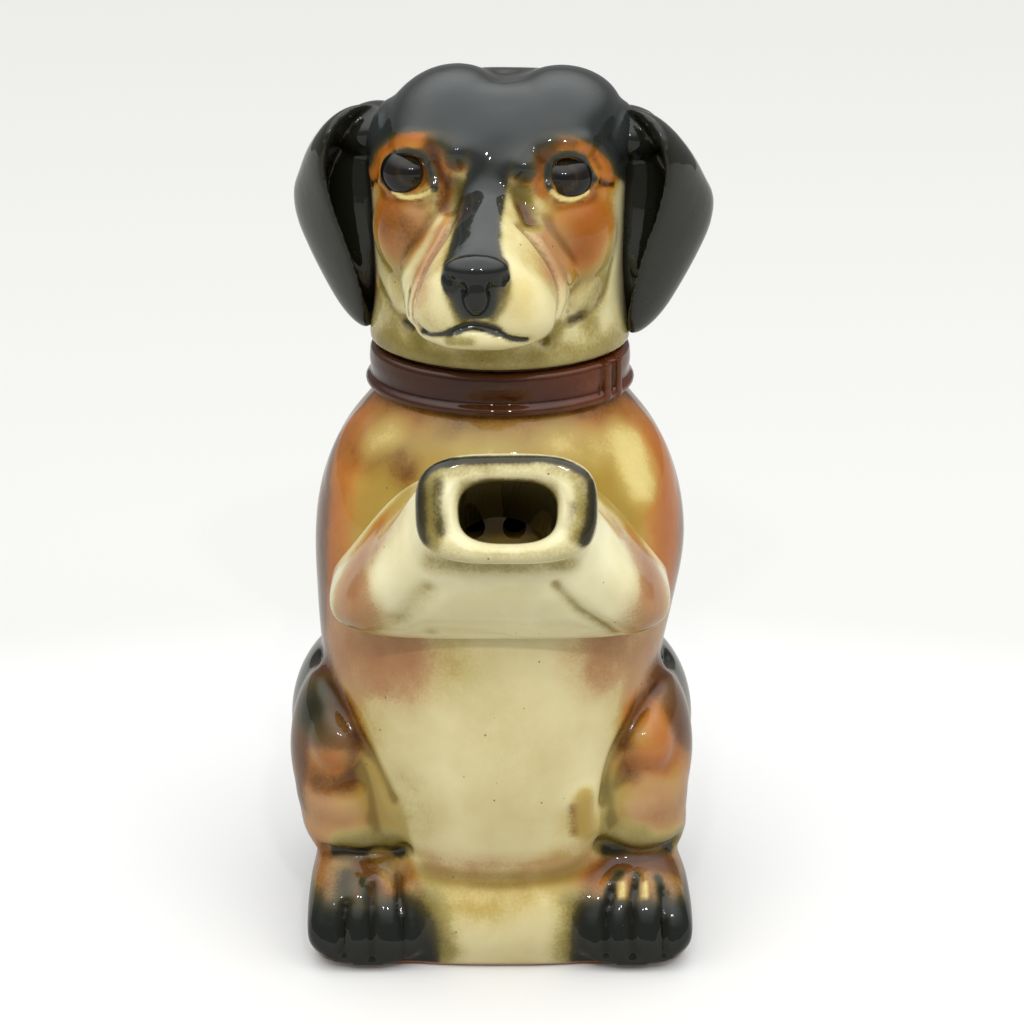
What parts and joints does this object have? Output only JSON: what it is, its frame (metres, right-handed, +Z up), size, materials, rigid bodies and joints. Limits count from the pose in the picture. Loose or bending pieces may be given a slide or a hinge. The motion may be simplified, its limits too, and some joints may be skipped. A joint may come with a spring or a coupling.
{
  "type": "dog teapot",
  "caption": "Glazed earthenware teapot shaped as a begging dachshund: forelegs form the spout, the tail is the handle and the head lifts off as the lid.",
  "frame": {"origin": "centre of the flat base, on the table", "axes": "+Z up; the dog faces -Y, where the spout is; the tail handle is at +Y; +X is the viewer's right"},
  "size_m": [0.1018, 0.161, 0.2097],
  "materials": {
    "body_glaze": "glossy airbrushed glaze, amber and yellow-green",
    "collar_glaze": "glossy red-brown glaze",
    "spout_glaze": "glossy pale yellow-green glaze",
    "head_glaze": "glossy charcoal, orange and cream glaze",
    "black_glaze": "glossy charcoal-black glaze"
  },
  "bodies": {
    "pot": {"pot_body": "body_glaze", "collar": "collar_glaze", "foreleg_spout": "spout_glaze", "tail_handle": "black_glaze"},
    "lid": {"head_lid": "head_glaze", "ear_left": "black_glaze", "ear_right": "black_glaze"}
  },
  "joints": [
    {"name": "lid_lift", "type": "slide", "parent": "pot", "child": "lid", "axis": [0, 0, 1], "range_m": [0, 0.06]}
  ]
}
